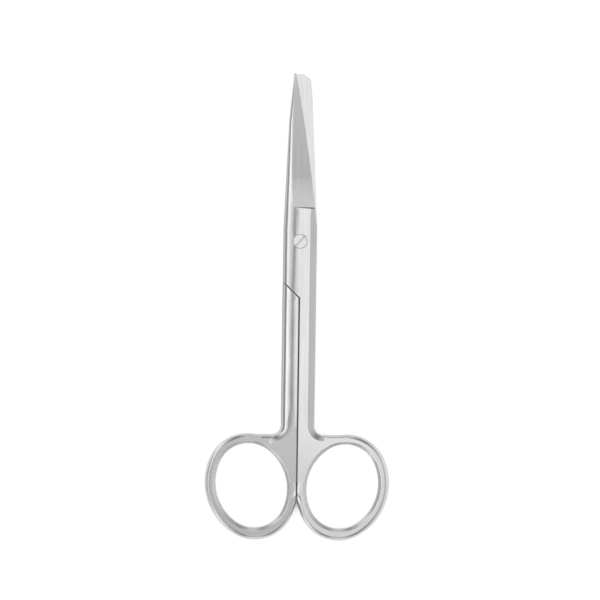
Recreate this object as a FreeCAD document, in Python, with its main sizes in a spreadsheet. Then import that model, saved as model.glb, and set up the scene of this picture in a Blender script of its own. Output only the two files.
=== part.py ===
import FreeCAD, Part
import math
import os
import re
import Sketcher
from FreeCAD import Placement, Rotation, Vector

# Straight operating scissors with one sharp and one blunt tip, closed and lying flat.
# Millimetres. Z points up to the screw's slot, Y to the tips, and X to the sharp half's ring.
# The origin is on the pivot axis, on the surface that the scissors lie on.
# Both halves are one forging, turned over: each is drawn with its outer face up, its
# mating face at height 0 and its ring to the right, and then put in place.

SIZES = {
    # Joint
    "half_width": 5.4,          # joint and shank, from the middle to the outer side
    "half_height": 2.4,         # thickness of one half at the joint
    "face_gap": 0.05,           # running gap between the mating faces
    "lap_start": 12.6,          # outer end of the lap shoulder, behind the pivot
    "lap_end": 18.0,            # inner end of the lap shoulder, behind the pivot
    "lap_gap": 0.5,             # play along Y between a shoulder and the other half
    "lap_round": 0.8,           # rounding of the lap's inner corner
    "shank_gap": 0.3,           # slit between the two shanks
    # Finger ring
    "hole_out": 14.6,           # centre of the finger hole, from the middle
    "hole_back": 78.45,         # centre of the finger hole, behind the pivot
    "hole_long": 13.65,         # half length of the finger hole
    "hole_wide": 11.36,         # half width of the finger hole
    "hole_nose": 10.0,          # radius of the finger hole's two ends
    "hole_lean": 15.0,          # lean of the finger hole, in degrees
    "ring_side": 3.24,          # wall of the ring at its sides
    "ring_end": 3.59,           # wall of the ring at its ends
    "ring_out": 0.14,           # outline's centre, further out than the hole's
    "ring_back": 0.33,          # outline's centre, further back than the hole's
    "ring_nose": 13.0,          # radius of the outline's two ends
    "ring_lean": 17.9,          # lean of the outline, in degrees
    "ring_height": 2.1,         # half thickness of the ring
    "ring_round": 1.9,          # rounding of the outer edges
    "hole_bevel": 1.0,          # bevel of the finger hole's edges
    "web_drop": 0.23,           # web's top edge, below the top of the ring
    "neck_round": 2.9,          # corner between the shank and the ring
    "web_round": 20.0,          # blend of the web's top edge into the ring
    # Blades
    "reach": 54.0,              # sharp tip, ahead of the pivot
    "taper_start": 8.0,         # where the blades begin to thin
    "tip_height": 0.7,          # thickness of a blade at its tip
    "spine_start": 4.0,         # where the spine leaves the joint's straight side
    "bend": 38.8,               # where the spine starts to curve in
    "sharp_bend": 4.0,          # sharp blade's spine there, from the middle
    "sharp_curve": 145.0,       # radius of the sharp blade's spine beyond it
    "sharp_spine": 2.62,        # sharp tip's spine side
    "sharp_edge": 1.95,         # sharp tip's cutting side
    "sharp_run": 0.7,           # length of the sharp tip's rounding along Y
    "sharp_nose": 0.5,          # rounding of the sharp tip
    "blunt_bend": 3.64,         # blunt blade's spine at the bend
    "blunt_spine": 3.18,        # blunt blade's spine where its nose begins
    "blunt_back": 0.3,          # blunt tip, behind the sharp one
    "blunt_nose": 3.0,          # rounding of the blunt nose into the spine
    "blunt_run": 3.9,           # length of the blunt nose along Y
    "blunt_flat": 0.1,          # inner end of the nose's slanted top, from the middle
    "blunt_slant": 2.0,         # outer end of that slanted top, from the middle
    "slant_fall": 1.05,         # fall of that slanted top along Y
    "blunt_edge": 2.2,          # blunt tip's cutting side
    "edge_round": 0.4,          # rounding of the blunt tip's cutting corner
    "heel": 10.9,               # heel of the cutting edge, ahead of the pivot
    "heel_out": 4.65,           # heel of the cutting edge, from the middle
    "edge_curve": 540.0,        # radius of the cutting edge
    # Grinding
    "grind_tilt": 12.0,         # tilt of the ground face, in degrees
    "edge_height": 0.3,         # thickness left at the cutting edge
    "runout": 9.1,              # length of the grinding wheel's run-out
    "runout_rise": 0.35,        # height of the run-out at the heel
    "heel_slope": 0.3,          # slope of the small wall at the heel
    # Rounded side and bevelled side
    "crown_start": 0.35,        # where the joint's crown leaves the flat land
    "crown_mid": 4.0,           # where the crown turns down
    "crown_radius": 9.5,        # radius of the joint's crown
    "shank_start": 0.9,         # where the shank's crown leaves the flat land
    "shank_radius": 7.3,        # radius of the shank's crown
    "side_radius": 2.4,         # radius of the side below the crown
    "side_low": 0.17,           # end of that radius, past the mating face
    "runout_tilt": 11.5,        # tilt of both run-outs, in degrees
    "bevel_width": 2.1,         # width of the bevelled side
    "bevel_drop": 0.98,         # fall of the bevelled side
    # Screw
    "screw_radius": 1.5,        # shank of the screw
    "screw_play": 0.04,         # running gap around the screw in the sharp half
    "thread_play": 0.02,        # gap around the screw in the blunt half
    "head_radius": 2.25,        # head of the screw
    "head_rim": 0.45,           # straight rim of the head
    "head_depth": 1.2,          # depth of the head
    "slot_width": 0.42,         # screw slot
    "slot_depth": 0.35,         # screw slot
    "slot_turn": 48.0,          # direction of the slot, in degrees
    "beyond": 3.0,              # reach of cutting shapes past the material
}

doc = FreeCAD.newDocument("operating_scissors")
sheet = doc.addObject("Spreadsheet::Sheet", "Sizes")
for row, (name, number) in enumerate(SIZES.items(), 1):
    sheet.set(f"A{row}", name)
    sheet.set(f"B{row}", str(number))
    sheet.setAlias(f"B{row}", name)
doc.recompute()


def value(expression):
    """Number that an expression of the sheet's sizes gives now."""
    result = sheet.evalExpression(expression)
    return float(getattr(result, "Value", result))


def named(expression):
    """The expression with each size read from the sheet."""
    return re.sub("[a-z_]+", lambda word: "Sizes." * (word[0] in SIZES) + word[0], expression)


# Sketches

def origin_plane(body, role):
    """One of the body's own three planes."""
    return next(feature for feature in body.Origin.OriginFeatures if feature.Role == role)


def new_sketch(body, name, plane, shift=("0", "0", "0"), turn="0"):
    """Sketch on an origin plane, moved by shift and turned about its own first axis."""
    sketch = body.newObject("Sketcher::SketchObject", name)
    sketch.AttachmentSupport = [(origin_plane(body, plane), "")]
    sketch.MapMode = "FlatFace"
    angle = value(named(turn))
    sketch.AttachmentOffset = Placement(Vector(), Rotation(Vector(1, 0, 0), angle))
    for axis, distance in zip("xyz", shift):
        sketch.setExpression(f"AttachmentOffset.Base.{axis}", named(distance))
    if turn != "0":
        sketch.setExpression("AttachmentOffset.Rotation.Angle", named(turn))
    return sketch


def bind(sketch, kind, where, expression):
    """Dimension of a sketch, tied to the sheet."""
    number = sketch.addConstraint(Sketcher.Constraint(kind, *where, value(named(expression))))
    sketch.setExpression(f"Constraints[{number}]", named(expression))


def outline(sketch, corners, bows=None, closed=True):
    """Outline through corners given as pairs of expressions.

    bows gives the side after a corner, where it is an arc, its radius and the hand on
    which it bulges, seen along the outline.
    """
    bows = bows or {}
    points = [Vector(value(named(x)), value(named(y)), 0) for x, y in corners]
    sides = len(points) if closed else len(points) - 1
    ends = []
    for index in range(sides):
        start = points[index]
        finish = points[(index + 1) % len(points)]
        if index in bows:
            radius = value(named(bows[index][0]))
            chord = finish - start
            height = radius - math.sqrt(radius ** 2 - chord.Length ** 2 / 4)
            hand = 1 if bows[index][1] == "left" else -1
            bulge = Vector(-chord.y, chord.x, 0).normalize() * height * hand
            number = sketch.addGeometry(Part.Arc(start, (start + finish) / 2 + bulge, finish))
            first = 1 if sketch.Geometry[number].StartPoint.distanceToPoint(start) < 1e-6 else 2
        else:
            number = sketch.addGeometry(Part.LineSegment(start, finish))
            first = 1
        ends.append((number, first, 3 - first))
    for index in range(sides if closed else sides - 1):
        after = ends[(index + 1) % sides]
        sketch.addConstraint(
            Sketcher.Constraint("Coincident", ends[index][0], ends[index][2], after[0], after[1]))
    for index, (x, y) in enumerate(corners):
        number, spot = ends[index][:2] if index < sides else (ends[-1][0], ends[-1][2])
        bind(sketch, "DistanceX", (-1, 1, number, spot), x)
        bind(sketch, "DistanceY", (-1, 1, number, spot), y)
    for index, (radius, _) in bows.items():
        bind(sketch, "Radius", (ends[index][0],), radius)


def oval(sketch, out, back, half_long, half_wide, nose, lean):
    """Oval of four arcs with its long axis leaning to the outer side.

    nose is the radius of the two arcs at the ends of the long axis. flank, that of the two
    arcs at its sides, follows from it, because the arcs meet without a corner.
    """
    inset = f"( {half_long} - {nose} )"
    flank = (f"( ( pow( {inset} ; 2 ) + pow( {half_wide} ; 2 ) - pow( {nose} ; 2 ) )"
             f" / ( 2 * ( {half_wide} - {nose} ) ) )")
    reach_long = f"( {inset} + {nose} * {inset} / ( {flank} - {nose} ) )"
    reach_wide = f"( {nose} * ( {flank} - {half_wide} ) / ( {flank} - {nose} ) )"
    corners = []
    for along, across in ((1, 1), (1, -1), (-1, -1), (-1, 1)):
        corners.append((
            f"{out} + {along} * {reach_long} * sin( {lean} ) + {across} * {reach_wide} * cos( {lean} )",
            f"-1 * {back} + {along} * {reach_long} * cos( {lean} ) - {across} * {reach_wide} * sin( {lean} )",
        ))
    outline(sketch, corners, {
        0: (nose, "right"), 1: (flank, "right"), 2: (nose, "right"), 3: (flank, "right")})


# Features

def pad(body, sketch, name, up, down="0"):
    """Material above the sketch by up and below it by down."""
    feature = body.newObject("PartDesign::Pad", name)
    feature.Profile = sketch
    feature.SideType = "Two sides"
    feature.setExpression("Length", named(up))
    feature.setExpression("Length2", named(down))
    doc.recompute()
    return feature


def cut(body, sketch, name):
    """Everything in front of and behind the sketch is cut away."""
    before = body.Shape.Volume
    feature = body.newObject("PartDesign::Pocket", name)
    feature.Profile = sketch
    feature.SideType = "Two sides"
    feature.Type = "ThroughAll"
    feature.Type2 = "ThroughAll"
    doc.recompute()
    if not feature.Shape.Volume < before:
        raise ValueError(name + " cuts nothing")
    return feature


def cut_along(body, sketch, name, length, course, climb):
    """An upright sketch is cut away over length, along course in the plan view.

    climb is the cut's rise in Z for each millimetre along that course.
    """
    before = body.Shape.Volume
    feature = body.newObject("PartDesign::Pocket", name)
    feature.Profile = sketch
    feature.UseCustomVector = True
    feature.AlongSketchNormal = False
    feature.Direction = Vector(*course, value(named(climb)))
    feature.setExpression("Direction.z", named(climb))
    feature.setExpression("Length", named(length))
    doc.recompute()
    if not feature.Shape.Volume < before:
        raise ValueError(name + " cuts nothing")
    return feature


def cut_round(body, sketch, name):
    """A sketch is cut away over a quarter turn about its own upright axis."""
    before = body.Shape.Volume
    doc.recompute()
    feature = body.newObject("PartDesign::Groove", name)
    feature.Profile = sketch
    feature.ReferenceAxis = (sketch, ["V_Axis"])
    feature.Angle = 90
    doc.recompute()
    if not feature.Shape.Volume < before:
        raise ValueError(name + " cuts nothing")


def round_edges(body, name, radius, chosen):
    """Rounding of the edges that chosen picks by their middle point and direction."""
    base = body.Tip
    names = []
    for number, edge in enumerate(base.Shape.Edges, 1):
        middle = edge.valueAt((edge.FirstParameter + edge.LastParameter) / 2)
        if chosen(edge, middle):
            names.append(f"Edge{number}")
    if not names:
        raise ValueError(name + " finds no edge")
    feature = body.newObject("PartDesign::Fillet", name)
    feature.Base = (base, names)
    feature.setExpression("Radius", named(radius))
    doc.recompute()
    return feature


def upright(edge):
    """True for a straight edge along Z."""
    start, finish = edge.Vertexes[0].Point, edge.Vertexes[-1].Point
    return abs(start.x - finish.x) < 1e-4 and abs(start.y - finish.y) < 1e-4 and edge.Length > 1e-3


# Halves

RING_X = "( hole_out + ring_out )"
RING_Y = "( hole_back + ring_back )"
RING_LONG = "( hole_long + ring_end )"
RING_WIDE = "( hole_wide + ring_side )"
RING_TOP = f"( ( {RING_LONG} - ring_nose ) * cos( ring_lean ) + ring_nose - {RING_Y} )"
WEB_TOP = f"( {RING_TOP} - web_drop )"
SLIT = "( shank_gap / 2 )"
SHOULDER = f"( ( lap_end - lap_start ) / ( half_width + {SLIT} ) )"


def shank_and_ring(body):
    """Finger ring, web and shank, through both layers of the joint and still joined in the middle."""
    ring = new_sketch(body, "ring_outline", "XY_Plane")
    oval(ring, RING_X, RING_Y, RING_LONG, RING_WIDE, "ring_nose", "ring_lean")
    pad(body, ring, "ring", "half_height", "half_height")

    shank = new_sketch(body, "shank_outline", "XY_Plane")
    outline(shank, [
        ("-1 * beyond", f"-1 * lap_start - lap_gap - ( half_width + beyond ) * {SHOULDER}"),
        ("-1 * beyond", f"-1 * {RING_Y}"),
        (RING_X, f"-1 * {RING_Y} + {RING_WIDE} / 2"),
        (RING_X, WEB_TOP),
        ("half_width", WEB_TOP),
        ("half_width", "-1 * lap_start - lap_gap"),
    ])
    pad(body, shank, "shank", "half_height", "half_height")

    hole = new_sketch(body, "finger_hole_outline", "XY_Plane")
    oval(hole, "hole_out", "hole_back", "hole_long", "hole_wide", "hole_nose", "hole_lean")
    cut(body, hole, "finger_hole")

    width = value("Sizes.half_width")
    top = value(named(WEB_TOP))

    def neck(edge, middle):
        return upright(edge) and abs(middle.x - width) < 1e-3 and abs(middle.y - top) < 1e-3

    def web(edge, middle):
        return upright(edge) and middle.x > width + 1 and abs(middle.y - top) < 1e-3

    round_edges(body, "neck", "neck_round", neck)
    round_edges(body, "web", "web_round", web)


BACK_END = f"( -1 * {RING_Y} - {RING_LONG} - beyond )"
FRONT_END = "( reach + beyond )"
HIGH = "( half_height + beyond )"
TAPER = "( ( half_height - tip_height ) / ( reach - taper_start ) )"


def joint_blank(body):
    """Upper layer of the joint with the blade, still square and full length."""
    blank = new_sketch(body, "joint_outline", "XY_Plane", shift=("0", "0", "face_gap / 2"))
    outline(blank, [
        (SLIT, "-1 * lap_end - lap_gap"),
        ("half_width", "-1 * lap_end - lap_gap"),
        ("half_width", FRONT_END),
        ("-1 * half_width", FRONT_END),
        ("-1 * half_width", "-1 * lap_start"),
        (SLIT, "-1 * lap_end"),
    ])
    pad(body, blank, "joint", "half_height - face_gap / 2")


def thin_down(body):
    """Shank and ring thin towards the back on both faces, and the blade towards its tip."""
    side = new_sketch(body, "thickness_profile", "YZ_Plane")
    back = [("-1 * lap_end - lap_gap", "half_height"), (f"{WEB_TOP} + neck_round", "ring_height"),
            (BACK_END, "ring_height")]
    for sign in ("", "-1 * "):
        corners = [(y, f"{sign}{z}") for y, z in back]
        corners += [(BACK_END, f"{sign}{HIGH}"), ("-1 * lap_end - lap_gap", f"{sign}{HIGH}")]
        outline(side, corners)
    front_low = f"half_height - {TAPER} * ( {FRONT_END} - taper_start )"
    outline(side, [("taper_start", "half_height"), (FRONT_END, front_low),
                   (FRONT_END, HIGH), ("taper_start", HIGH)])
    cut(body, side, "thickness")


def edge_kinds(shape):
    """Edges between an upright wall and a nearly level face, as (number, middle point)."""
    found = []
    for number, edge in enumerate(shape.Edges, 1):
        tilts = []
        for face in shape.ancestorsOfType(edge, Part.Face):
            middle = edge.valueAt((edge.FirstParameter + edge.LastParameter) / 2)
            u, v = face.Surface.parameter(middle)
            tilts.append(abs(face.normalAt(u, v).z))
        mating = abs(middle.z) <= value("Sizes.face_gap")
        if len(tilts) == 2 and min(tilts) < 0.01 and max(tilts) > 0.9 and not mating:
            found.append((number, middle))
    return found


NEAR_HOLE = 1.1     # reach of the finger hole's edges, against the hole's own size


def soften(body):
    """Rounded edges of the shank and the ring, and bevelled edges of the finger hole."""
    centre = Vector(value("Sizes.hole_out"), -value("Sizes.hole_back"), 0)
    turn = Rotation(Vector(0, 0, 1), value("Sizes.hole_lean") - 90)
    half_long, half_wide = value("Sizes.hole_long"), value("Sizes.hole_wide")
    outer = value("Sizes.half_width") - 1e-3
    slit = value(named(SLIT)) + 1e-3
    neck = value(named(f"{WEB_TOP} + neck_round")) + 1e-3

    def on_hole(point):
        local = turn.multVec(Vector(point.x, point.y, 0) - centre)
        return math.hypot(local.x / half_long, local.y / half_wide) < NEAR_HOLE

    for name, kind, size, chosen in (
        ("outer_edges", "Fillet", "ring_round",
         lambda point: slit < point.x and not on_hole(point) and (point.x > outer or point.y < neck)),
        ("hole_edges", "Chamfer", "hole_bevel", on_hole),
    ):
        base = body.Tip
        names = [f"Edge{number}" for number, point in edge_kinds(base.Shape) if chosen(point)]
        feature = body.newObject(f"PartDesign::{kind}", name)
        feature.Base = (base, names)
        feature.setExpression("Radius" if kind == "Fillet" else "Size", named(size))
        doc.recompute()


def slit(body):
    """Slit between the two shanks, and the rounded inner corner of the lap."""
    sketch = new_sketch(body, "slit_outline", "XY_Plane")
    shoulder = f"( -1 * lap_start - lap_gap - ( half_width - {SLIT} ) * {SHOULDER} )"
    front = f"( {shoulder} - lap_end ) / 2"
    outline(sketch, [(SLIT, BACK_END), (SLIT, front), ("-2 * beyond", front), ("-2 * beyond", BACK_END)])
    cut(body, sketch, "slit")
    corner = value("-1 * Sizes.lap_end")

    def inner_corner(edge, middle):
        return upright(edge) and abs(middle.y - corner) < 1e-3 and middle.x < 1

    round_edges(body, "lap_corner", "lap_round", inner_corner)


NECK_OUT = "( half_width + neck_round )"
NECK_BACK = f"( -1 * {WEB_TOP} - neck_round )"
SHANK_THIN = f"( ( half_height - ring_height ) / ( {NECK_BACK} - lap_end - lap_gap ) )"


def crown_profile(sketch, side, start, radius, edge="half_width", scale="1", far="half_width + beyond"):
    """Section of the rounded side, from the land down past the mating face.

    The crown is an arc that leaves the land at start and turns at crown_mid into the side's
    arc. edge is the place of the outer side, far the end of the cut beyond it, and scale
    shrinks the section towards the foot of that side.
    """
    lean = f"( ( crown_mid - {start} ) / {radius} )"
    upright_part = f"sqrt( 1 - pow( {lean} ; 2 ) )"
    drop = f"( {radius} * ( 1 - {upright_part} ) )"
    centre_out = f"( crown_mid - side_radius * {lean} )"
    centre_up = f"( half_height - {drop} - side_radius * {upright_part} )"
    foot = f"( {centre_out} + sqrt( pow( side_radius ; 2 ) - pow( side_low + {centre_up} ; 2 ) ) )"
    over = -side

    def place(out, up):
        return f"{side} * ( {edge} - ( half_width - {out} ) * {scale} )", f"{over} * {up} * {scale}"

    outline(sketch, [
        place(start, "half_height"),
        place("crown_mid", f"( half_height - {drop} )"),
        place(foot, "-1 * side_low"),
        (f"{side} * ( {far} )", f"{side} * side_low * {scale}"),
        (f"{side} * ( {far} )", f"{over} * {HIGH}"),
        (place(start, "half_height")[0], f"{over} * {HIGH}"),
    ], {0: (f"{radius} * {scale}", "right"), 1: (f"side_radius * {scale}", "right")})


def bevel_profile(sketch, edge="half_width", far="half_width + beyond"):
    """Section of the bevelled side. edge is the place of the outer side, far the cut's end."""
    outline(sketch, [
        (f"{edge} - bevel_width", "half_height"),
        (edge, "half_height - bevel_drop"),
        (far, "half_height - bevel_drop"),
        (far, HIGH),
        (f"{edge} - bevel_width", HIGH),
    ])


def blade_crown(body):
    """Rounded back of the blade: it follows the spine and shrinks with the blade's thickness."""
    spine_slope = "( ( half_width - sharp_bend ) / ( bend - spine_start ) )"
    tip_slope = "( ( sharp_bend - sharp_spine ) / ( reach - sharp_run - bend ) )"
    sections = []
    for name, ahead, edge in (
        ("foot", "spine_start", "half_width"),
        ("start", "taper_start", f"( half_width - ( taper_start - spine_start ) * {spine_slope} )"),
        ("bend", "bend", "sharp_bend"),
        ("front", FRONT_END, f"( sharp_bend - ( {FRONT_END} - bend ) * {tip_slope} )"),
    ):
        sketch = new_sketch(body, f"blade_crown_{name}", "XZ_Plane", shift=("0", "0", f"-1 * {ahead}"))
        thin = "0" if name in ("foot", "start") else f"( {ahead} - taper_start )"
        scale = f"( 1 - {TAPER} * {thin} / half_height )"
        crown_profile(sketch, -1, "crown_start", "crown_radius", edge, scale)
        sections.append(sketch)
    doc.recompute()
    before = body.Shape.Volume
    feature = body.newObject("PartDesign::SubtractiveLoft", "blade_crown")
    feature.Profile = sections[0]
    feature.Sections = sections[1:]
    feature.Ruled = True
    doc.recompute()
    if not feature.Shape.Volume < before:
        raise ValueError("the blade's crown cuts nothing")


def crowns(body):
    """Rounded sides of the joint, the blade and the shank's mating face."""
    sketch = new_sketch(body, "joint_crown_profile", "XZ_Plane")
    crown_profile(sketch, -1, "crown_start", "crown_radius")
    cut(body, sketch, "joint_crown")
    blade_crown(body)
    rise = "( half_height - ring_height )"
    sketch = new_sketch(body, "shank_crown_profile", "XZ_Plane", shift=("0", rise, NECK_BACK))
    crown_profile(sketch, 1, "shank_start", "shank_radius")
    cut_along(body, sketch, "shank_crown", f"{NECK_BACK} - lap_start", (0, 1), f"-1 * {SHANK_THIN}")

    sketch = new_sketch(body, "neck_crown_profile", "XZ_Plane", shift=(NECK_OUT, rise, NECK_BACK))
    crown_profile(sketch, 1, "shank_start", "shank_radius", "-1 * neck_round", far="-1 * neck_round / 2")
    cut_round(body, sketch, "neck_crown")

    sketch = new_sketch(body, "crown_runout_profile", "YZ_Plane", shift=("0", rise, NECK_OUT))
    crown_profile(sketch, 1, "shank_start", "shank_radius", WEB_TOP, far=f"{WEB_TOP} + beyond")
    cut_along(body, sketch, "crown_runout", RING_LONG, (1, 0), "-1 * tan( runout_tilt )")


def bevels(body):
    """Bevelled side of the joint and the shank on the outer face."""
    back = "lap_end + lap_gap"
    sketch = new_sketch(body, "joint_bevel_profile", "XZ_Plane", shift=("0", "0", back))
    bevel_profile(sketch)
    cut_along(body, sketch, "joint_bevel", f"{back} + heel + runout", (0, 1), "0")
    fall = "( ring_height - half_height )"
    sketch = new_sketch(body, "shank_bevel_profile", "XZ_Plane", shift=("0", fall, NECK_BACK))
    bevel_profile(sketch)
    cut_along(body, sketch, "shank_bevel", f"{NECK_BACK} - {back}", (0, 1), SHANK_THIN)

    sketch = new_sketch(body, "neck_bevel_profile", "XZ_Plane", shift=(NECK_OUT, fall, NECK_BACK))
    bevel_profile(sketch, "-1 * neck_round", "-1 * neck_round / 2")
    cut_round(body, sketch, "neck_bevel")

    sketch = new_sketch(body, "bevel_runout_profile", "YZ_Plane", shift=("0", fall, NECK_OUT))
    bevel_profile(sketch, WEB_TOP, f"{WEB_TOP} + beyond")
    cut_along(body, sketch, "bevel_runout", RING_LONG, (1, 0), "tan( runout_tilt )")


def blade_outline(body, tip, bows):
    """Blank outside the blade is ground away, from the joint round the tip and back."""
    sketch = new_sketch(body, "blade_outline", "XY_Plane")
    corners = [
        ("half_width + beyond", "spine_start"),
        ("half_width", "spine_start"),
        ("heel_out", "heel"),
        *tip,
        ("-1 * half_width", "spine_start"),
        ("-1 * half_width - beyond", "spine_start"),
        ("-1 * half_width - beyond", FRONT_END),
        ("half_width + beyond", FRONT_END),
    ]
    outline(sketch, corners, {2: ("edge_curve", "right"), **bows})
    cut(body, sketch, "blade")


def ground_face(body, edge_out):
    """Ground face of the blade with the wheel's run-out and the small wall at the heel."""
    def height(out):
        return f"( ( {out} ) * sin( grind_tilt ) + edge_height * cos( grind_tilt ) )"

    fall = f"( ( {height(edge_out)} - {height('heel_out')} ) / ( reach - heel ) )"
    top = f"2 * {HIGH}"
    sketch = new_sketch(body, "ground_profile", "YZ_Plane", turn="grind_tilt")
    outline(sketch, [
        ("heel", f"{height('heel_out')} + runout_rise"),
        ("heel + runout", f"{height('heel_out')} + {fall} * runout"),
        (FRONT_END, f"{height('heel_out')} + {fall} * ( {FRONT_END} - heel )"),
        (FRONT_END, top),
        (f"heel - heel_slope * ( {top} - runout_rise - {height('heel_out')} )", top),
    ], {0: ("pow( runout ; 2 ) / ( 2 * runout_rise )", "right")})
    cut(body, sketch, "ground_face")


def turned(body, kind, name, corners):
    """Revolved shape about the pivot axis: a Revolution adds material, a Groove cuts it."""
    sketch = new_sketch(body, name + "_profile", "XZ_Plane")
    outline(sketch, corners)
    doc.recompute()
    feature = body.newObject(f"PartDesign::{kind}", name)
    feature.Profile = sketch
    feature.ReferenceAxis = (sketch, ["V_Axis"])
    feature.Angle = 360
    doc.recompute()


def half(label, tip, bows, edge_out, hole):
    """One half of the scissors in its own frame."""
    body = doc.addObject("PartDesign::Body", label)
    doc.recompute()
    shank_and_ring(body)
    joint_blank(body)
    thin_down(body)
    soften(body)
    slit(body)
    crowns(body)
    bevels(body)
    blade_outline(body, tip, bows)
    ground_face(body, edge_out)
    turned(body, "Groove", "screw_hole", hole)
    return body


BORE = "( screw_radius + screw_play )"
TAPPED = "( screw_radius + thread_play )"
COUNTERSINK = "( head_radius + screw_play )"

sharp_half = half(
    "sharp_half",
    [
        ("-1 * sharp_edge", "reach"),
        ("-1 * sharp_spine", "reach - sharp_run"),
        ("-1 * sharp_bend", "bend"),
    ],
    {3: ("sharp_nose", "right"), 4: ("sharp_curve", "right")},
    "-1 * sharp_edge",
    [
        ("0", f"-1 * {HIGH}"),
        (BORE, f"-1 * {HIGH}"),
        (BORE, "half_height - head_depth"),
        (COUNTERSINK, "half_height - head_rim"),
        (COUNTERSINK, HIGH),
        ("0", HIGH),
    ],
)

blunt_half = half(
    "blunt_half",
    [
        ("blunt_edge", "reach - blunt_back - edge_round"),
        ("blunt_edge - edge_round", "reach - blunt_back"),
        ("-1 * blunt_flat", "reach - blunt_back"),
        ("-1 * blunt_slant", "reach - blunt_back - slant_fall"),
        ("-1 * blunt_spine", "reach - blunt_back - blunt_run"),
        ("-1 * blunt_bend", "bend"),
    ],
    {3: ("edge_round", "right"), 6: ("blunt_nose", "right")},
    "blunt_edge",
    [
        ("0", f"-1 * {HIGH}"),
        (TAPPED, f"-1 * {HIGH}"),
        (TAPPED, HIGH),
        ("0", HIGH),
    ],
)


# Screw

def slotted_screw():
    """Screw with a flush slotted head, its end flush with the other outer face."""
    body = doc.addObject("PartDesign::Body", "pivot_screw")
    doc.recompute()
    turned(body, "Revolution", "screw", [
        ("0", "-1 * half_height"),
        ("screw_radius", "-1 * half_height"),
        ("screw_radius", "half_height - head_depth"),
        ("head_radius", "half_height - head_rim"),
        ("head_radius", "half_height"),
        ("0", "half_height"),
    ])
    slot = new_sketch(body, "slot_outline", "XY_Plane", shift=("0", "0", "half_height - slot_depth"))
    along = ("cos( slot_turn )", "sin( slot_turn )")
    corners = []
    for end, edge in ((-1, -1), (1, -1), (1, 1), (-1, 1)):
        corners.append((
            f"{end} * ( head_radius + beyond ) * {along[0]} - {edge} * slot_width / 2 * {along[1]}",
            f"{end} * ( head_radius + beyond ) * {along[1]} + {edge} * slot_width / 2 * {along[0]}",
        ))
    outline(slot, corners)
    before = body.Shape.Volume
    feature = body.newObject("PartDesign::Pocket", "slot")
    feature.Profile = slot
    feature.Reversed = True
    feature.setExpression("Length", named("slot_depth + beyond"))
    doc.recompute()
    if not feature.Shape.Volume < before:
        raise ValueError("the slot cuts nothing")
    return body


pivot_screw = slotted_screw()


# Places

for body in (sharp_half, pivot_screw, blunt_half):
    if body is blunt_half:
        body.Placement = Placement(Vector(), Rotation(Vector(0, 1, 0), 180))
    body.setExpression("Placement.Base.z", "Sizes.half_height")
doc.recompute()

for thing in doc.Objects:
    if "Invalid" in thing.State or "Error" in thing.State:
        raise ValueError(f"{thing.Name} is {thing.State}")

os.makedirs("parts", exist_ok=True)
for body in (sharp_half, blunt_half, pivot_screw):
    shape = body.Shape
    if shape.isNull() or not shape.isValid() or len(shape.Solids) != 1:
        raise ValueError(body.Label + " is not one valid solid")
    shape.exportStep(f"parts/{body.Label}.step")
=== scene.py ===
import math

import bpy
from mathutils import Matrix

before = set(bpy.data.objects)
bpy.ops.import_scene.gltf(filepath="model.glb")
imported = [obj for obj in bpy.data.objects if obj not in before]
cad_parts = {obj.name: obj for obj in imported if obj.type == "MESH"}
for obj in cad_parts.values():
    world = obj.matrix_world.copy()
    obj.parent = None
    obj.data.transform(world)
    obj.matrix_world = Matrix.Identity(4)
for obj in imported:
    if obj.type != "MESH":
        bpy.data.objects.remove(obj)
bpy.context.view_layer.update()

bl_info = {
    "name": "Operating scissors",
    "version": (1, 0, 0),
    "blender": (4, 5, 0),
    "location": "View3D > Sidebar > Scissors",
    "description": "Satin steel operating scissors with one sharp and one blunt tip",
    "category": "Object",
}

MM = 0.001
HALVES = ("sharp_half", "blunt_half")


# Settings that a user would change

class SteelSettings(bpy.types.PropertyGroup):
    """Finish of the steel."""

    colour: bpy.props.FloatVectorProperty(
        name="Steel colour", description="Reflected colour of the satin steel",
        subtype="COLOR", size=3, min=0, max=1, default=(0.60, 0.60, 0.605))
    roughness: bpy.props.FloatProperty(
        name="Roughness", description="How far the satin finish spreads a reflection",
        subtype="FACTOR", min=0, max=1, default=0.2)
    ring_roughness: bpy.props.FloatProperty(
        name="Ring roughness", description="Roughness of the tumbled rings",
        subtype="FACTOR", min=0, max=1, default=0.26)
    # Painted shade: the rings' colour is darkened against the shanks, standing in for their slightly
    # tilted tops
    ring_shade: bpy.props.FloatProperty(
        name="Ring tone", description="Brightness of the tumbled rings against the ground shanks",
        subtype="FACTOR", min=0, max=1, default=0.9)
    grain_width: bpy.props.FloatProperty(
        name="Grain width", description="Width of one grinding line",
        subtype="DISTANCE", unit="LENGTH", min=0, default=0.16 * MM)
    grain_length: bpy.props.FloatProperty(
        name="Grain length", description="Length of one grinding line",
        subtype="DISTANCE", unit="LENGTH", min=0, default=6.0 * MM)
    grain_depth: bpy.props.FloatProperty(
        name="Grain depth", description="Depth of the grinding lines",
        subtype="DISTANCE", unit="LENGTH", min=0, default=0.002 * MM)


class StudioSettings(bpy.types.PropertyGroup):
    """Camera, table and lights."""

    frame_width: bpy.props.FloatProperty(
        name="Frame width", description="Width of the picture at the table",
        subtype="DISTANCE", unit="LENGTH", default=192.6 * MM)
    look_at: bpy.props.FloatVectorProperty(
        name="Look at", description="Point in the middle of the picture",
        subtype="TRANSLATION", unit="LENGTH", size=3, default=(0.23 * MM, -18.78 * MM, 2.4 * MM))
    roll: bpy.props.FloatProperty(
        name="Roll", description="Turn of the camera about its own axis",
        subtype="ANGLE", unit="ROTATION", default=math.radians(0.8))
    lens: bpy.props.FloatProperty(
        name="Lens", description="Focal length of the camera",
        subtype="DISTANCE_CAMERA", default=180.0)
    floor_colour: bpy.props.FloatVectorProperty(
        name="Table colour", description="Colour of the table",
        subtype="COLOR", size=3, min=0, max=1, default=(0.9, 0.9, 0.9))


# Stretches along the scissors, measured from the pivot, over which the finish changes

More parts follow.
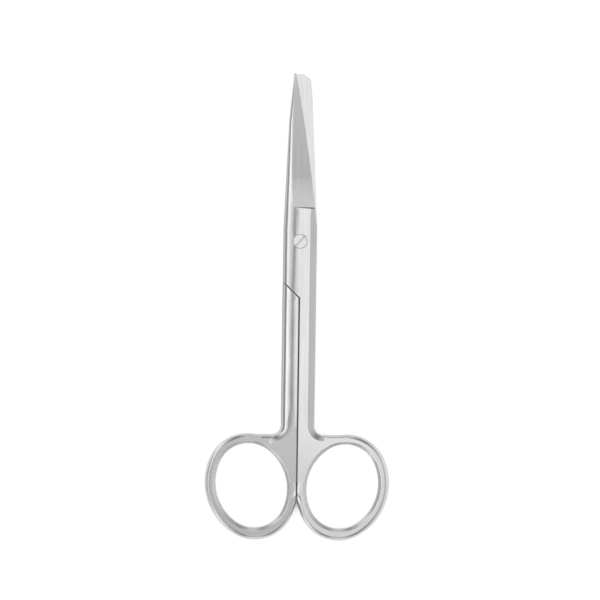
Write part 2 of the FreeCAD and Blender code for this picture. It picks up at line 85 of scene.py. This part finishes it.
NECK = (-66 * MM, -58 * MM)
RING_GLOSS = (-70 * MM, -58 * MM)
# Painted shade darkens the rings over the following stretch
RING_SHADE = (-80 * MM, -64 * MM)
RING_EDGES = (-66 * MM, -62 * MM)
GRAIN_ENDS = (-62 * MM, -54 * MM)
SIDE_ENDS = (-62 * MM, -56 * MM)
WEB_ENDS = (-64 * MM, -50 * MM)
RUNOUT_ENDS = (-68 * MM, -66 * MM)
PARTING_BACK = (-86 * MM, -79.5 * MM)
PARTING_FRONT = (-60 * MM, -58 * MM)
SLIT_BACK = (-86 * MM, -84 * MM)
SLIT_FRONT = (-18 * MM, -17.6 * MM)

# Stretches outward from the middle, or from the pivot

LEFT_WEB = (-0.3 * MM, 0.0)
SLIT_EDGE = (0.22 * MM, 0.4 * MM)
PARTING_OUT = (2.0 * MM, 2.3 * MM)
RUNOUT_NEAR = (7.8 * MM, 9.2 * MM)
RUNOUT_FAR = (15 * MM, 18 * MM)
SEAM_IN = (2.0 * MM, 2.2 * MM)
SEAM_OUT = (2.25 * MM, 2.4 * MM)

# How level a face lies: 0 is upright and 1 is level

WEB_LEVEL = (0.93, 0.975)
RUNOUT_LEVEL = (0.84, 0.9)
PARTING_LEVEL = (0.1, 0.4)
SIDE_LEVEL = (0.35, 0.78)
SLANT_FROM = (0.45, 0.65)
SLANT_TO = (0.8, 0.93)

# Tones and sizes of the finish, with its painted shade and painted highlights

RING_EDGE = 0.6 * MM
SHANK_EDGE = 0.2 * MM
EDGE_SAMPLES = 8
LEFT_WEB_TURN = -0.09
# Painted highlight along the edges: where it fades out at the parting, the span over which it rises, and
# how much it brightens
NO_EDGE_HIGHLIGHT_FROM = (0.0, 0.5)
EDGE_HIGHLIGHT_SPAN = (0.02, 0.07)
EDGE_HIGHLIGHT_TONE = 1.4
# Painted shade on the upright sides
SIDE_SHADE = 0.66
# Painted highlight on the rings' slanting edges
RING_EDGE_HIGHLIGHT = 1.35
# Painted shade in the screw's seam
SEAM_SHADE = 0.78
# Painted shade on the edges along the slit
SLIT_SHADE = 0.4
RING_GRAIN_DEPTH = 0.2
RING_GRAIN_TONE = 0.25
GLOSS_SPREAD = 0.05
DARK_TONE = 0.94
PALE_TONE = 1.05
CLOUD_SCALE = 90.0
STREAK_SCALE = 0.3
NOISE_MIDDLE = (0.3, 0.7)
WHOLE = (0.0, 1.0)
LINE_DETAIL = 4.0
TONE_DETAIL = 3.0
CLOUD_SHARE = 0.4
STREAK_SHARE = 0.6
SCREW_GRAIN_TURN = math.radians(30)

# Gaps too narrow for the light: reach, span of open sky, darkest tone

STEEL_GAPS = (3 * MM, (0.12, 0.42), 0.1)
TABLE_GAPS = (12 * MM, (0.08, 0.36), 0.02)
GAP_SAMPLES = 12

# Table

TABLE_SIZE = 6.0
TABLE_GLOW = 0.88
TABLE_SHADOW = 0.25

# Light around the scissors, as (direction, level): -1 to 1 across, along and upward

ACROSS = (
    (-1.0, 0.42), (-0.94, 0.38), (-0.85, 0.45), (-0.76, 1.72), (-0.63, 1.72), (-0.55, 1.05),
    (-0.42, 0.85), (-0.36, 0.4), (-0.25, 0.38), (-0.18, 0.95), (-0.08, 1.36), (0.14, 1.36),
    (0.24, 0.75), (0.32, 0.5), (0.46, 0.5), (0.6, 0.78), (1.0, 0.85))
ALONG = (
    (-1.0, 0.6), (-0.75, 0.6), (-0.42, 0.85), (-0.12, 1.0), (0.12, 1.0), (0.42, 0.85),
    (0.7, 0.55), (1.0, 0.55))
UPWARD = ((-1.0, 1.2), (0.0, 1.2), (0.3, 1.0), (1.0, 1.0))
PATCH_ACROSS = ((-1.0, 0.0), (0.26, 0.0), (0.34, 0.56), (0.5, 0.56), (0.6, 0.0), (1.0, 0.0))
PATCH_ALONG = ((-1.0, 0.0), (0.08, 0.0), (0.14, 1.0), (0.3, 1.0), (0.42, 0.0), (1.0, 0.0))

# Camera

SENSOR_WIDTH = 36.0
NEAREST = 0.01
FARTHEST = 20.0


# Nodes

def socket(node, name):
    """Input of a node by its name."""
    return node.inputs[name]


def feed(tree, term, place):
    """A number is set on an input, and an output is linked to it."""
    if isinstance(term, (int, float)):
        place.default_value = term
    else:
        tree.links.new(term, place)


def calculated(tree, operation, *terms):
    """Result of an operation on numbers and factors."""
    node = tree.nodes.new("ShaderNodeMath")
    node.operation = operation
    for term, place in zip(terms, node.inputs):
        feed(tree, term, place)
    return node.outputs["Value"]


def product(tree, first, *others):
    """Product of factors."""
    result = first
    for factor in others:
        result = calculated(tree, "MULTIPLY", result, factor)
    return result


def multiplied(tree, first, *others):
    """Product of colours and factors as a colour."""
    result = first
    for colour in others:
        node = tree.nodes.new("ShaderNodeMix")
        node.data_type = "RGBA"
        node.blend_type = "MULTIPLY"
        node.inputs[0].default_value = 1.0
        tree.links.new(result, node.inputs[6])
        tree.links.new(colour, node.inputs[7])
        result = node.outputs[2]
    return result


def mixed(tree, share, first, second):
    """Number between two others, the second at a share of 1."""
    node = tree.nodes.new("ShaderNodeMix")
    feed(tree, share, node.inputs[0])
    feed(tree, first, node.inputs[2])
    feed(tree, second, node.inputs[3])
    return node.outputs[0]


def ranged(tree, value, span, to_low, to_high, smooth=True):
    """A value's span taken to another span, and held at both ends."""
    node = tree.nodes.new("ShaderNodeMapRange")
    node.interpolation_type = "SMOOTHSTEP" if smooth else "LINEAR"
    low, high = span
    for name, number in (("From Min", low), ("From Max", high), ("To Min", to_low), ("To Max", to_high)):
        socket(node, name).default_value = number
    tree.links.new(value, socket(node, "Value"))
    return node.outputs["Result"]


def rising(tree, value, span):
    """Factor from 0 to 1 over a span."""
    return ranged(tree, value, span, 0.0, 1.0)


def falling(tree, value, span):
    """Factor from 1 to 0 over a span."""
    return ranged(tree, value, span, 1.0, 0.0)


def noise(tree, places, scale, detail):
    """Noise at the given places, from 0 to 1."""
    node = tree.nodes.new("ShaderNodeTexNoise")
    socket(node, "Scale").default_value = scale
    socket(node, "Detail").default_value = detail
    tree.links.new(places, socket(node, "Vector"))
    return node.outputs["Fac"]


def crevices(tree, reach, span, darkest):
    """Factor that falls to darkest in gaps too narrow for the light."""
    open_sky = tree.nodes.new("ShaderNodeAmbientOcclusion")
    open_sky.samples = GAP_SAMPLES
    socket(open_sky, "Distance").default_value = reach
    return ranged(tree, open_sky.outputs["AO"], span, darkest, 1.0)


# Finish of the steel

def blended_share(tree, level, across, along):
    """Share by which the web, the run-outs and the place where the rings part are blended.

    Returns that share and the part of it where the rings part.
    """
    out = calculated(tree, "ABSOLUTE", across)
    web = product(tree, rising(tree, level, WEB_LEVEL), falling(tree, along, WEB_ENDS))
    parting = product(
        tree, rising(tree, level, PARTING_LEVEL), falling(tree, out, PARTING_OUT),
        rising(tree, along, PARTING_BACK), falling(tree, along, PARTING_FRONT))
    runout = product(
        tree, rising(tree, level, RUNOUT_LEVEL), rising(tree, out, RUNOUT_NEAR),
        falling(tree, out, RUNOUT_FAR), rising(tree, along, RUNOUT_ENDS))
    share = calculated(tree, "MAXIMUM", web, calculated(tree, "MAXIMUM", parting, runout))
    return share, parting


def broken_edges(tree, across, along):
    """Normal with softly broken edges and blended run-outs, how strongly an edge gets its painted
    highlight, how level the face.

    Towards the rings the edges are rounder. The blended places are those that hand finishing
    levels; the web of the left ring stays turned a little outward there.
    """
    nodes, links = tree.nodes, tree.links
    edge = nodes.new("ShaderNodeBevel")
    edge.samples = EDGE_SAMPLES
    links.new(ranged(tree, along, NECK, RING_EDGE, SHANK_EDGE), socket(edge, "Radius"))
    surface = nodes.new("ShaderNodeNewGeometry")
    agree = nodes.new("ShaderNodeVectorMath")
    agree.operation = "DOT_PRODUCT"
    links.new(edge.outputs["Normal"], agree.inputs[0])
    links.new(surface.outputs["Normal"], agree.inputs[1])
    # Painted highlight: it grows where the rounded edge normal turns away from the face
    edge_highlight = calculated(tree, "SUBTRACT", 1.0, agree.outputs["Value"])

    parts = nodes.new("ShaderNodeSeparateXYZ")
    links.new(edge.outputs["Normal"], parts.inputs[0])
    level = calculated(tree, "ABSOLUTE", parts.outputs["Z"])
    finished = nodes.new("ShaderNodeCombineXYZ")
    links.new(ranged(tree, across, LEFT_WEB, LEFT_WEB_TURN, 0.0), finished.inputs[0])
    links.new(calculated(tree, "SIGN", parts.outputs["Z"]), finished.inputs[2])

    share, parting = blended_share(tree, level, across, along)
    blend = nodes.new("ShaderNodeMix")
    blend.data_type = "VECTOR"
    links.new(share, blend.inputs[0])
    links.new(edge.outputs["Normal"], blend.inputs[4])
    links.new(finished.outputs["Vector"], blend.inputs[5])
    unit = nodes.new("ShaderNodeVectorMath")
    unit.operation = "NORMALIZE"
    links.new(blend.outputs[1], unit.inputs[0])
    # The painted highlight fades out where the rings part
    edge_highlight = product(tree, edge_highlight, falling(tree, parting, NO_EDGE_HIGHLIGHT_FROM))
    return unit.outputs["Vector"], edge_highlight, level


def side_shade(tree, level, along):
    """Painted shade on the upright sides of shanks and blades, which are coloured darker than the faces.
    """
    sides = ranged(tree, level, SIDE_LEVEL, SIDE_SHADE, 1.0)
    return mixed(tree, rising(tree, along, SIDE_ENDS), 1.0, sides)


def ring_edge_highlight(tree, level, along):
    """Painted highlight on the rings' slanting edges, coloured brighter than their sides."""
    slanting = product(tree, rising(tree, level, SLANT_FROM), falling(tree, level, SLANT_TO))
    return mixed(tree, product(tree, slanting, falling(tree, along, RING_EDGES)), 1.0, RING_EDGE_HIGHLIGHT)


def slit_edge_shade(tree, across, along):
    """Painted shade on the shanks' rounded edges along the slit."""
    beside = product(tree, rising(tree, along, SLIT_BACK), falling(tree, along, SLIT_FRONT))
    out = calculated(tree, "ABSOLUTE", across)
    return mixed(tree, beside, 1.0, ranged(tree, out, SLIT_EDGE, SLIT_SHADE, 1.0))


def screw_seam_shade(tree, place):
    """Painted shade in the seam between the screw's head and its seat."""
    flat = tree.nodes.new("ShaderNodeVectorMath")
    flat.operation = "MULTIPLY"
    flat.inputs[1].default_value = (1, 1, 0)
    tree.links.new(place, flat.inputs[0])
    radius = tree.nodes.new("ShaderNodeVectorMath")
    radius.operation = "LENGTH"
    tree.links.new(flat.outputs["Vector"], radius.inputs[0])
    inner = ranged(tree, radius.outputs["Value"], SEAM_IN, 1.0, SEAM_SHADE)
    outer = ranged(tree, radius.outputs["Value"], SEAM_OUT, SEAM_SHADE, 1.0)
    return calculated(tree, "MAXIMUM", inner, outer)


def steel_tone(tree, steel, place, grain_place, ground):
    """Colour of the steel, uneven in soft clouds and in streaks along the grinding."""
    clouds = noise(tree, place, CLOUD_SCALE, TONE_DETAIL)
    streaks = noise(tree, grain_place, STREAK_SCALE, TONE_DETAIL)
    both = calculated(
        tree, "ADD", ranged(tree, clouds, NOISE_MIDDLE, 0.0, CLOUD_SHARE),
        ranged(tree, streaks, NOISE_MIDDLE, 0.0, STREAK_SHARE))
    strength = ranged(tree, ground, WHOLE, RING_GRAIN_TONE, 1.0)
    tone = tree.nodes.new("ShaderNodeMix")
    tone.data_type = "RGBA"
    tree.links.new(mixed(tree, strength, 0.5, both), tone.inputs[0])
    tone.inputs[6].default_value = (*[c * DARK_TONE for c in steel.colour], 1)
    tone.inputs[7].default_value = (*[min(1.0, c * PALE_TONE) for c in steel.colour], 1)
    return tone.outputs[2]


def new_material(name):
    """Material with an empty node tree, its tree and its output."""
    material = bpy.data.materials.new(name)
    material.use_nodes = True
    tree = material.node_tree
    tree.nodes.clear()
    return material, tree, tree.nodes.new("ShaderNodeOutputMaterial")


def satin_steel(name, steel, turn=0.0):
    """Ground steel: fine lines along the piece, uneven gloss and softly broken edges."""
    material, tree, output = new_material(name)
    nodes, links = tree.nodes, tree.links
    shader = nodes.new("ShaderNodeBsdfPrincipled")
    socket(shader, "Metallic").default_value = 1.0
    place = nodes.new("ShaderNodeTexCoord").outputs["Object"]
    split = nodes.new("ShaderNodeSeparateXYZ")
    links.new(place, split.inputs[0])
    across, along = split.outputs["X"], split.outputs["Y"]
    mapping = nodes.new("ShaderNodeMapping")
    socket(mapping, "Rotation").default_value = (0, 0, turn)
    socket(mapping, "Scale").default_value = (
        1 / steel.grain_width, 1 / steel.grain_length, 1 / steel.grain_width)
    links.new(place, socket(mapping, "Vector"))
    lines = noise(tree, mapping.outputs["Vector"], 1.0, LINE_DETAIL)

    uneven = ranged(tree, lines, WHOLE, -GLOSS_SPREAD, GLOSS_SPREAD)
    soft = ranged(tree, along, RING_GLOSS, steel.ring_roughness, steel.roughness)
    links.new(calculated(tree, "ADD", soft, uneven), socket(shader, "Roughness"))

    edge, edge_highlight, level = broken_edges(tree, across, along)
    ground = rising(tree, along, GRAIN_ENDS)
    # The colour holds painted shade on the rings, the upright sides, the slit's edges, the screw's seam
    # and in narrow gaps, and painted highlights along the edges and on the rings' slanting edges
    colour = multiplied(
        tree,
        steel_tone(tree, steel, place, mapping.outputs["Vector"], ground),
        ranged(tree, along, RING_SHADE, steel.ring_shade, 1.0),
        ranged(tree, edge_highlight, EDGE_HIGHLIGHT_SPAN, 1.0, EDGE_HIGHLIGHT_TONE),
        side_shade(tree, level, along),
        slit_edge_shade(tree, across, along),
        ring_edge_highlight(tree, level, along),
        screw_seam_shade(tree, place),
        crevices(tree, *STEEL_GAPS))
    links.new(colour, socket(shader, "Base Color"))

    bump = nodes.new("ShaderNodeBump")
    socket(bump, "Strength").default_value = 1.0
    depth = ranged(tree, ground, WHOLE, RING_GRAIN_DEPTH * steel.grain_depth, steel.grain_depth)
    links.new(depth, socket(bump, "Distance"))
    links.new(lines, socket(bump, "Height"))
    links.new(edge, socket(bump, "Normal"))
    links.new(bump.outputs["Normal"], socket(shader, "Normal"))
    links.new(shader.outputs["BSDF"], socket(output, "Surface"))
    return material


# Table and light

def table_paper(name, colour):
    """Pale table: white to the camera and in reflections, and it keeps the shadow."""
    material, tree, output = new_material(name)
    nodes, links = tree.nodes, tree.links
    paper = nodes.new("ShaderNodeBsdfDiffuse")
    socket(paper, "Color").default_value = (*colour, 1)
    dim = nodes.new("ShaderNodeBsdfDiffuse")
    socket(dim, "Color").default_value = (*[c * TABLE_SHADOW for c in colour], 1)
    glow = nodes.new("ShaderNodeEmission")
    socket(glow, "Strength").default_value = TABLE_GLOW
    links.new(crevices(tree, *TABLE_GAPS), socket(glow, "Color"))
    bright = nodes.new("ShaderNodeAddShader")
    links.new(dim.outputs["BSDF"], bright.inputs[0])
    links.new(glow.outputs["Emission"], bright.inputs[1])
    path = nodes.new("ShaderNodeLightPath")
    seen = calculated(tree, "MAXIMUM", path.outputs["Is Camera Ray"], path.outputs["Is Glossy Ray"])
    seen = calculated(tree, "MAXIMUM", seen, path.outputs["Is Transmission Ray"])
    mix = nodes.new("ShaderNodeMixShader")
    links.new(seen, mix.inputs[0])
    links.new(paper.outputs["BSDF"], mix.inputs[1])
    links.new(bright.outputs["Shader"], mix.inputs[2])
    links.new(mix.outputs["Shader"], socket(output, "Surface"))
    return material


def light_bands(tree, direction, stops):
    """Level of light by direction, through the given stops."""
    ramp = tree.nodes.new("ShaderNodeValToRGB")
    tree.links.new(ranged(tree, direction, (-1, 1), 0, 1, smooth=False), ramp.inputs[0])
    elements = ramp.color_ramp.elements
    while len(elements) < len(stops):
        elements.new(0.5)
    for element, (where, level) in zip(elements, stops):
        element.position = (where + 1) / 2
        element.color = (level, level, level, 1)
    return ramp.outputs["Color"]


def studio_air(name):
    """World that lights the scissors in soft bands, with one brighter patch."""
    world = bpy.data.worlds.new(name)
    world.use_nodes = True
    tree = world.node_tree
    nodes, links = tree.nodes, tree.links
    nodes.clear()
    output = nodes.new("ShaderNodeOutputWorld")
    air = nodes.new("ShaderNodeBackground")
    place = nodes.new("ShaderNodeTexCoord")
    split = nodes.new("ShaderNodeSeparateXYZ")
    links.new(place.outputs["Generated"], split.inputs[0])
    across, along, upward = split.outputs["X"], split.outputs["Y"], split.outputs["Z"]
    bands = multiplied(
        tree, light_bands(tree, across, ACROSS), light_bands(tree, along, ALONG),
        light_bands(tree, upward, UPWARD))
    patch = multiplied(
        tree, light_bands(tree, across, PATCH_ACROSS), light_bands(tree, along, PATCH_ALONG))
    both = nodes.new("ShaderNodeVectorMath")
    links.new(bands, both.inputs[0])
    links.new(patch, both.inputs[1])
    links.new(both.outputs["Vector"], socket(air, "Color"))
    links.new(air.outputs["Background"], socket(output, "Surface"))
    return world


def dress(node, material):
    """A carried-over node gets its material."""
    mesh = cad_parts[node].data
    mesh.materials.clear()
    mesh.materials.append(material)


# Operators

class SCISSORS_OT_halves(bpy.types.Operator):
    """Satin finish on both halves of the scissors"""

    bl_idname = "scissors.halves"
    bl_label = "Halves"

    def execute(self, context):
        finish = satin_steel("satin_steel", context.scene.scissors_steel)
        for node in HALVES:
            dress(node, finish)
        return {"FINISHED"}


class SCISSORS_OT_screw(bpy.types.Operator):
    """Finish of the pivot screw"""

    bl_idname = "scissors.screw"
    bl_label = "Pivot screw"

    def execute(self, context):
        dress("pivot_screw", satin_steel("screw_steel", context.scene.scissors_steel, SCREW_GRAIN_TURN))
        return {"FINISHED"}


class SCISSORS_OT_studio(bpy.types.Operator):
    """Table, light and camera"""

    bl_idname = "scissors.studio"
    bl_label = "Studio"

    def execute(self, context):
        studio = context.scene.scissors_studio
        bpy.ops.object.select_all(action="DESELECT")
        bpy.ops.mesh.primitive_plane_add(size=TABLE_SIZE, location=(0, 0, 0))
        table = context.object
        table.name = "table"
        table.data.materials.append(table_paper("table_paper", studio.floor_colour))
        context.scene.world = studio_air("studio_air")

        distance = studio.frame_width * studio.lens / SENSOR_WIDTH
        bpy.ops.object.camera_add(
            location=(studio.look_at[0], studio.look_at[1], studio.look_at[2] + distance),
            rotation=(0, 0, studio.roll))
        camera = context.object
        camera.name = "camera"
        camera.data.lens = studio.lens
        camera.data.sensor_width = SENSOR_WIDTH
        camera.data.clip_start = NEAREST
        camera.data.clip_end = FARTHEST
        context.scene.camera = camera
        context.scene.view_settings.view_transform = "Standard"
        return {"FINISHED"}


class SCISSORS_PT_panel(bpy.types.Panel):
    """The pieces of the scissors and the studio"""

    bl_label = "Scissors"
    bl_idname = "SCISSORS_PT_panel"
    bl_space_type = "VIEW_3D"
    bl_region_type = "UI"
    bl_category = "Scissors"

    def draw(self, context):
        for operator in OPERATORS:
            self.layout.operator(operator.bl_idname)


OPERATORS = (SCISSORS_OT_halves, SCISSORS_OT_screw, SCISSORS_OT_studio)
CLASSES = (SteelSettings, StudioSettings, *OPERATORS, SCISSORS_PT_panel)


def register():
    for cls in CLASSES:
        bpy.utils.register_class(cls)
    bpy.types.Scene.scissors_steel = bpy.props.PointerProperty(type=SteelSettings)
    bpy.types.Scene.scissors_studio = bpy.props.PointerProperty(type=StudioSettings)


def unregister():
    del bpy.types.Scene.scissors_studio
    del bpy.types.Scene.scissors_steel
    for cls in reversed(CLASSES):
        bpy.utils.unregister_class(cls)


def main():
    register()
    bpy.ops.scissors.halves()
    bpy.ops.scissors.screw()
    bpy.ops.scissors.studio()


if __name__ == "__main__":
    main()
